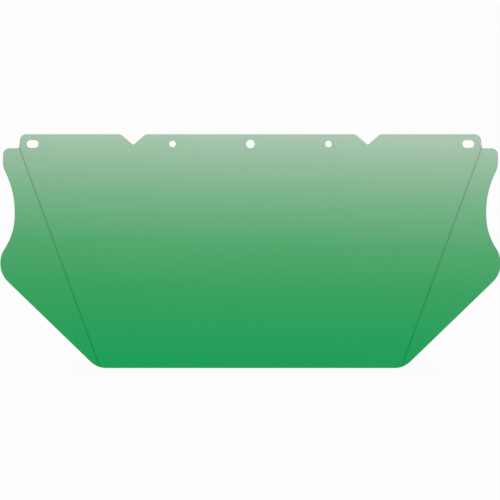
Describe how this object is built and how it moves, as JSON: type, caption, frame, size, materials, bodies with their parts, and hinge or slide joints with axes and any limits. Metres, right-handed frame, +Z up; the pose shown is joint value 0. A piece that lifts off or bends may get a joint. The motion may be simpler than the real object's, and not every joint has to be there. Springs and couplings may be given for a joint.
{
  "type": "face shield window",
  "caption": "Tinted flat visor sheet for a face shield: a middle panel with a punched mounting band and side wings that fold back on scored lines.",
  "frame": {"origin": "axis of the middle mounting hole, halfway through the sheet's thickness", "axes": "+X to the right as seen from the front, -Y out of the front face (away from the wearer), +Y towards the wearer, +Z up as worn. Left and right in names are as seen from the front."},
  "size_m": [0.435, 0.0016, 0.2032],
  "materials": {
    "tinted_sheet": "gloss",
    "fold_web": "gloss"
  },
  "bodies": {
    "panel": {"centre_panel": "tinted_sheet", "left_fold_web": "fold_web", "right_fold_web": "fold_web"},
    "left_wing": {"left_wing": "tinted_sheet"},
    "right_wing": {"right_wing": "tinted_sheet"}
  },
  "joints": [
    {"name": "left_wing_fold", "type": "hinge", "parent": "panel", "child": "left_wing", "pos_m": [-0.1657, -0.00057, -0.0993], "axis": [0.3441, 0, -0.9389], "range_deg": [0, 60], "stiffness_Nm_per_rad": 0.03, "deforming": ["left_fold_web"]},
    {"name": "right_wing_fold", "type": "hinge", "parent": "panel", "child": "right_wing", "pos_m": [0.1657, -0.00057, -0.0993], "axis": [0.3441, 0, 0.9389], "range_deg": [0, 60], "stiffness_Nm_per_rad": 0.03, "deforming": ["right_fold_web"]}
  ]
}
